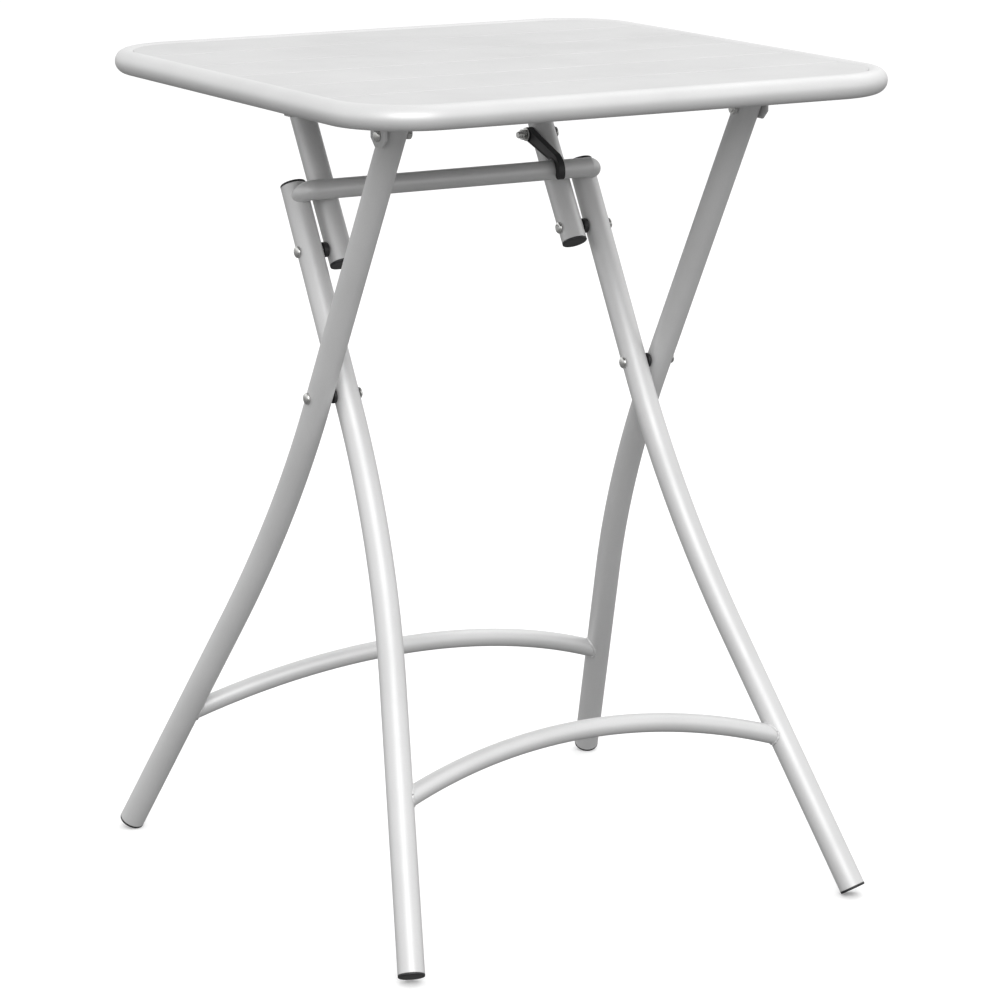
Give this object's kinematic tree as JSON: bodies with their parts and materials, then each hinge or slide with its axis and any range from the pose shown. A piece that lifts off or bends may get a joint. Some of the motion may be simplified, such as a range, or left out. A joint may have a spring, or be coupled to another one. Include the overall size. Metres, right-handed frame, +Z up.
{
  "type": "folding picnic table",
  "caption": "Square steel folding table: tube-rimmed slatted top on crossing splayed tube legs with arched bars, short link tubes and a hook that locks the crossbar.",
  "frame": {"origin": "on the ground, under the middle of the top", "axes": "+Z up; +Y towards the rear, the side where the top is carried by the link tubes; +X to the right when facing the rear, the side of the hook"},
  "size_m": [0.51, 0.51, 0.6997],
  "materials": {
    "frame_paint": "satin silver-white powder coat",
    "panel_paint": "satin light powder coat, fine texture",
    "black_plastic": "moulded, satin",
    "zinc_steel": "bright zinc plate"
  },
  "bodies": {
    "tabletop": {"rim_tube": "frame_paint", "slatted_top_panel": "panel_paint", "front_brace_bar": "frame_paint", "rear_brace_bar": "frame_paint", "front_hinge_bracket_left": "frame_paint", "front_hinge_bracket_right": "frame_paint", "front_hinge_pin_left": "zinc_steel", "front_hinge_pin_right": "zinc_steel", "front_hinge_nut_left": "zinc_steel", "front_hinge_nut_right": "zinc_steel", "rear_hinge_bracket_left": "frame_paint", "rear_hinge_bracket_right": "frame_paint", "rear_hinge_rivet_left": "zinc_steel", "rear_hinge_rivet_right": "zinc_steel"},
    "rear_frame": {"rear_leg_left": "frame_paint", "rear_leg_right": "frame_paint", "rear_arched_bar": "frame_paint", "rear_foot_cap_left": "black_plastic", "rear_foot_cap_right": "black_plastic", "crossing_pin_left": "zinc_steel", "crossing_pin_right": "zinc_steel", "crossing_spacer_left": "black_plastic", "crossing_spacer_right": "black_plastic"},
    "front_frame": {"front_leg_left": "frame_paint", "front_leg_right": "frame_paint", "front_arched_bar": "frame_paint", "locking_crossbar": "frame_paint", "crossbar_end_plug_left": "frame_paint", "crossbar_end_plug_right": "frame_paint", "front_leg_top_cap_left": "black_plastic", "front_leg_top_cap_right": "black_plastic", "front_foot_cap_left": "black_plastic", "front_foot_cap_right": "black_plastic", "crossing_nut_left": "zinc_steel", "crossing_nut_right": "zinc_steel"},
    "link_left": {"link_tube_left": "frame_paint", "link_end_cap_left": "black_plastic", "link_pin_left": "zinc_steel", "link_spacer_left": "black_plastic", "link_nut_left": "zinc_steel"},
    "link_right": {"link_tube_right": "frame_paint", "link_end_cap_right": "black_plastic", "link_pin_right": "zinc_steel", "link_spacer_right": "black_plastic", "link_nut_right": "zinc_steel", "hook_pin": "zinc_steel", "hook_washer": "zinc_steel", "hook_nut": "zinc_steel"},
    "latch_hook": {"latch_hook": "black_plastic"}
  },
  "joints": [
    {"name": "table_fold", "type": "hinge", "parent": "tabletop", "child": "rear_frame", "pos_m": [0, -0.13131, 0.662], "axis": [1, 0, 0], "range_deg": [0, 53.7]},
    {"name": "link_right_swing", "type": "hinge", "parent": "tabletop", "child": "link_right", "pos_m": [0.1139, 0.13053, 0.65], "axis": [1, 0, 0], "range_deg": [-60.5, 0]},
    {"name": "link_left_swing", "type": "hinge", "parent": "tabletop", "child": "link_left", "pos_m": [-0.1139, 0.13053, 0.65], "axis": [1, 0, 0], "range_deg": [-60.5, 0]},
    {"name": "front_frame_fold", "type": "hinge", "parent": "link_right", "child": "front_frame", "pos_m": [0, 0.06348, 0.5393], "axis": [1, 0, 0], "range_deg": [0, 169.4]},
    {"name": "hook_swing", "type": "hinge", "parent": "link_right", "child": "latch_hook", "pos_m": [0.0996, 0.10994, 0.616], "axis": [1, 0, 0], "range_deg": [-250.1, 0]}
  ],
  "couplings": [
    {"joint": "link_right_swing", "follows": "table_fold", "ratio": -1.125},
    {"joint": "link_left_swing", "follows": "table_fold", "ratio": -1.125},
    {"joint": "front_frame_fold", "follows": "table_fold", "ratio": 3.153},
    {"joint": "hook_swing", "follows": "table_fold", "ratio": -4.655}
  ]
}
